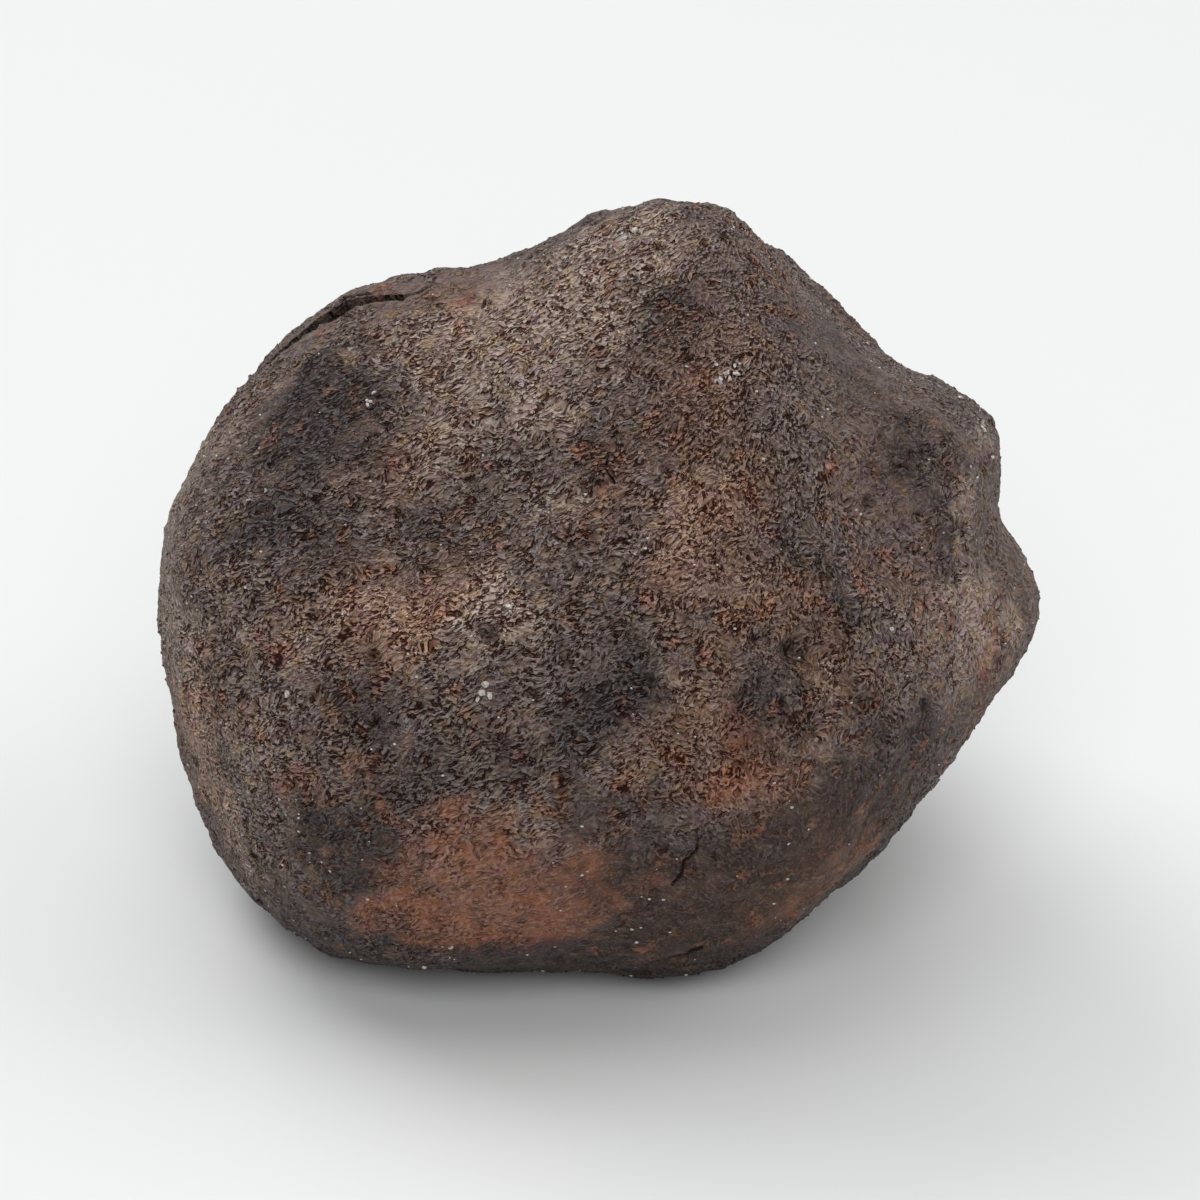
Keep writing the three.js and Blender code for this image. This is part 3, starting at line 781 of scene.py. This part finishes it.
for name, sizes, shape, seed in [
    ("crust_granules", GRANULES, ball, 11),
    ("crust_crumbs", CRUMBS, chip, 21),
]:
    scattered = mesh_object(name, stone.data.copy())
    run_tree(scattered, granule_tree(name, sizes, *shape, seed), sizes)
    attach(scattered, "root")


# ---------------------------------------------------------------------------------------------
# The mineral flecks. Pale grains of silicate mineral, laid bare in the rind: the larger ones each
# in its place, and fine ones strewn thinly over the stone, more of them low on its left.
# ---------------------------------------------------------------------------------------------

# (azimuth, elevation, length in mm, width in mm) of each larger fleck.
FLECKS = [
    (-19, 9.4, 0.34, 0.24), (-19.3, 8.0, 0.30, 0.26), (-18, 7.6, 0.34, 0.22),
    (-19.8, 7.0, 0.22, 0.14), (-17, 23.2, 0.28, 0.22), (-16.4, 22.2, 0.18, 0.12),
    (-51, 1, 0.36, 0.22), (43.6, 60.6, 0.16, 0.14), (45, 58.6, 0.30, 0.18),
    (46.6, 57.6, 0.34, 0.16), (44.2, 57.4, 0.22, 0.16), (47.6, 58.8, 0.16, 0.12),
    (-87, 45, 0.26, 0.12), (-85.5, 43.6, 0.34, 0.12), (-84.6, 43.0, 0.18, 0.12),
    (-75, 24, 0.18, 0.16), (-74.4, 22.0, 0.24, 0.12), (143, 79, 0.36, 0.28), (52, 11, 0.20, 0.14),
    (-14, -32, 0.18, 0.14), (-24, -35, 0.20, 0.14), (-30, -40, 0.20, 0.16), (7, -34, 0.18, 0.14),
    (8, -37, 0.16, 0.12), (87, 25, 0.34, 0.16), (95, 27, 0.26, 0.16), (84, 22, 0.26, 0.12),
    (170, 10, 0.40, 0.26), (-150, 20, 0.34, 0.20), (135, 35, 0.40, 0.24), (-120, -5, 0.30, 0.20),
    (105, -15, 0.34, 0.20), (-170, -20, 0.40, 0.24),
]

# A fleck's half thickness for its width, how far in mm its middle stands out of the skin, the
# size and reach in mm of its knobs, and the turn in radians from one fleck to the next.
FLECK_THICKNESS = 0.3
FLECK_RISE = 0.04
FLECK_KNOB_SIZE = 0.10
FLECK_KNOB_REACH = 0.07
FLECK_TURN = 2.4


def fleck_mesh():
    """The larger flecks, each a knobbly flattened grain that lies in the skin."""
    mesh = bpy.data.meshes.new("mineral_flecks")
    work = bmesh.new()
    for number, (azimuth, elevation, length, width) in enumerate(FLECKS):
        point, normal = on_skin(azimuth, elevation)
        turn = normal.to_track_quat("Z", "Y").to_matrix().to_4x4()
        spin = Matrix.Rotation(FLECK_TURN * number, 4, "Z")
        thick = FLECK_THICKNESS * width * MM
        size = Matrix.Diagonal((length * MM / 2, width * MM / 2, thick, 1.0))
        place = Matrix.Translation(point + normal * FLECK_RISE * MM) @ turn @ spin @ size
        grain = bmesh.ops.create_icosphere(work, subdivisions=2, radius=1.0, matrix=place)
        for vertex in grain["verts"]:
            knob = noise.noise_vector(vertex.co / (FLECK_KNOB_SIZE * MM))
            vertex.co += knob * FLECK_KNOB_REACH * MM
    work.to_mesh(mesh)
    work.free()
    return mesh


# The size of the clouds in the mineral, in mm, and the depth of its skin's unevenness.
CLOUD_SIZE = 0.14
CLOUD_DEPTH = 0.04 * MM


def mineral_material():
    """Pale mineral: milky grains, clouded and a little stained by the rind round them."""
    material = bpy.data.materials.new("pale_mineral")
    material.use_nodes = True
    tree = material.node_tree
    tree.nodes.clear()
    place = scaled(Wire.add(tree, "ShaderNodeTexCoord").out("Object"), 1 / MM)
    cloud = bumpy(place, CLOUD_SIZE, detail=2.0, roughness=0.6, seed=12)
    milky = (0.600, 0.575, 0.535, 1.0)
    stained = (0.330, 0.285, 0.240, 1.0)
    inputs = {"Factor": cloud.climb(0.44, 0.66), "A": milky, "B": stained}
    colour = Wire.add(tree, "ShaderNodeMix", {"data_type": "RGBA"}, inputs)
    bump = Wire.add(tree, "ShaderNodeBump", {}, {"Height": cloud, "Distance": CLOUD_DEPTH})
    inputs = {
        "Base Color": colour,
        "Roughness": cloud.climb(0.35, 0.65, 0.35, 0.60),
        "Normal": bump,
    }
    surface = Wire.add(tree, "ShaderNodeBsdfPrincipled", {}, inputs)
    Wire.add(tree, "ShaderNodeOutputMaterial", {}, {"Surface": surface})
    return material


pale_mineral = mineral_material()

flecks = mesh_object("mineral_flecks", fleck_mesh())
flecks.data.materials.append(pale_mineral)
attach(flecks, "root")

# How many specks are strewn on a square metre, and how large they are. They are longer than they
# are wide, and lie in drifts of a size in mm.
SPECKS = {"Thickness": 4.6e5, "Smallest": 0.026 * MM, "Largest": 0.062 * MM}
SPECK_STRETCH = 1.4
SPECK_SEED = 31
DRIFT_SIZE = 2.0


def speck_tree():
    """Strews fine grains over the rind in drifts, more of them low on its left."""
    tree, given = size_tree("mineral specks", SPECKS)
    place = scaled(Wire.add(tree, "GeometryNodeInputPosition"), 1 / MM)
    parts = Wire.add(tree, "ShaderNodeSeparateXYZ", {}, {"Vector": place})
    low = (parts.out("Z") * 0.8 + parts.out("X") * 0.5).climb(14.0, -4.0, 0.5, 2.0)
    drifts = bumpy(place, DRIFT_SIZE, detail=1.0, seed=9).climb(0.45, 0.62, 0.2, 1.0)
    inputs = {
        "Mesh": given.out("Geometry"),
        "Density": given.out("Thickness") * low * drifts,
        "Seed": SPECK_SEED,
    }
    scatter = Wire.add(tree, "GeometryNodeDistributePointsOnFaces", {}, inputs)
    grain = Wire.add(tree, "GeometryNodeMeshIcoSphere", {}, {"Radius": 1.0, "Subdivisions": 1})
    inputs = {
        "Min": given.out("Smallest"),
        "Max": given.out("Largest"),
        "Seed": SPECK_SEED + 1,
    }
    bulk = Wire.add(tree, "FunctionNodeRandomValue", {"data_type": "FLOAT"}, inputs)
    inputs = {"X": bulk * SPECK_STRETCH, "Y": bulk, "Z": bulk}
    size = Wire.add(tree, "ShaderNodeCombineXYZ", {}, inputs)
    inputs = {
        "Points": scatter,
        "Instance": grain,
        "Rotation": scatter.out("Rotation"),
        "Scale": size,
    }
    placed = Wire.add(tree, "GeometryNodeInstanceOnPoints", {}, inputs)
    solid = Wire.add(tree, "GeometryNodeRealizeInstances", {}, {"Geometry": placed})
    inputs = {"Geometry": solid, "Material": pale_mineral}
    solid = Wire.add(tree, "GeometryNodeSetMaterial", {}, inputs)
    Wire.add(tree, "NodeGroupOutput", {}, {"Geometry": solid})
    return tree


specks = mesh_object("mineral_specks", stone.data.copy())
run_tree(specks, speck_tree(), SPECKS)
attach(specks, "root")


# ---------------------------------------------------------------------------------------------
# The table that the stone stands on. A smooth white plastic sheet with a slight gloss, laid
# flat, and wide enough to fill the view.
# ---------------------------------------------------------------------------------------------
TABLE_HALF_WIDTH = 2.0
TABLE_TOP = -0.01 * MM

table_mesh = bpy.data.meshes.new("table")
corners = [(-1, -1), (1, -1), (1, 1), (-1, 1)]
table_mesh.from_pydata(
    [(x * TABLE_HALF_WIDTH, y * TABLE_HALF_WIDTH, TABLE_TOP) for x, y in corners],
    [],
    [(0, 1, 2, 3)],
)
table = mesh_object("table", table_mesh)
white_sheet = bpy.data.materials.new("white_sheet")
white_sheet.use_nodes = True
sheet_finish = white_sheet.node_tree.nodes["Principled BSDF"]
sheet_finish.inputs["Base Color"].default_value = (0.80, 0.815, 0.81, 1.0)
sheet_finish.inputs["Roughness"].default_value = 0.06
sheet_finish.inputs["IOR"].default_value = 1.33
table.data.materials.append(white_sheet)


# ---------------------------------------------------------------------------------------------
# The light. A pale room with a wide soft panel overhead, and three soft lamps on stands round
# the stone. The one on its right is weaker, so its right side lies in a little shade.
# ---------------------------------------------------------------------------------------------
ROOM_BRIGHTNESS = 0.20

room = bpy.data.worlds.new("pale room")
bpy.context.scene.world = room
room.use_nodes = True
room.node_tree.nodes["Background"].inputs["Color"].default_value = (1.0, 1.0, 1.0, 1.0)
room.node_tree.nodes["Background"].inputs["Strength"].default_value = ROOM_BRIGHTNESS


def soft_lamp(name, place, diameter, watts):
    """A round soft lamp that faces the stone, with its place and diameter in metres."""
    light = bpy.data.lights.new(name, "AREA")
    light.shape = "DISK"
    light.size = diameter
    light.energy = watts
    lamp = bpy.data.objects.new(name, light)
    lamp.location = place
    lamp.rotation_euler = Vector(place).to_track_quat("Z", "Y").to_euler()
    bpy.context.scene.collection.objects.link(lamp)


soft_lamp("overhead panel", (-0.05, 0.22, 0.66), 0.80, 2.4)
soft_lamp("lamp behind, to the left", (-0.35, 0.40, 0.45), 0.50, 2.0)
soft_lamp("lamp in front", (0.00, -0.50, 0.50), 0.50, 2.1)
soft_lamp("lamp on the right", (0.50, 0.10, 0.40), 0.50, 1.0)


# ---------------------------------------------------------------------------------------------
# The camera. It stands in front of the stone, higher than it, and looks down on it through a
# long lens.
# ---------------------------------------------------------------------------------------------
CAMERA_ELEVATION = math.radians(30.0)
CAMERA_DISTANCE = 209.0 * MM
CAMERA_TARGET = Vector((0.05, -0.68, 13.4)) * MM
CAMERA_LENS = 145.5
CAMERA_NEAREST = 0.01

camera_data = bpy.data.cameras.new("camera")
camera_data.lens = CAMERA_LENS
camera_data.clip_start = CAMERA_NEAREST
camera = bpy.data.objects.new("camera", camera_data)
sight = Vector((0.0, math.cos(CAMERA_ELEVATION), -math.sin(CAMERA_ELEVATION)))
camera.location = CAMERA_TARGET - sight * CAMERA_DISTANCE
camera.rotation_euler = sight.to_track_quat("-Z", "Y").to_euler()
bpy.context.scene.collection.objects.link(camera)
bpy.context.scene.camera = camera
bpy.context.scene.view_settings.view_transform = "Standard"
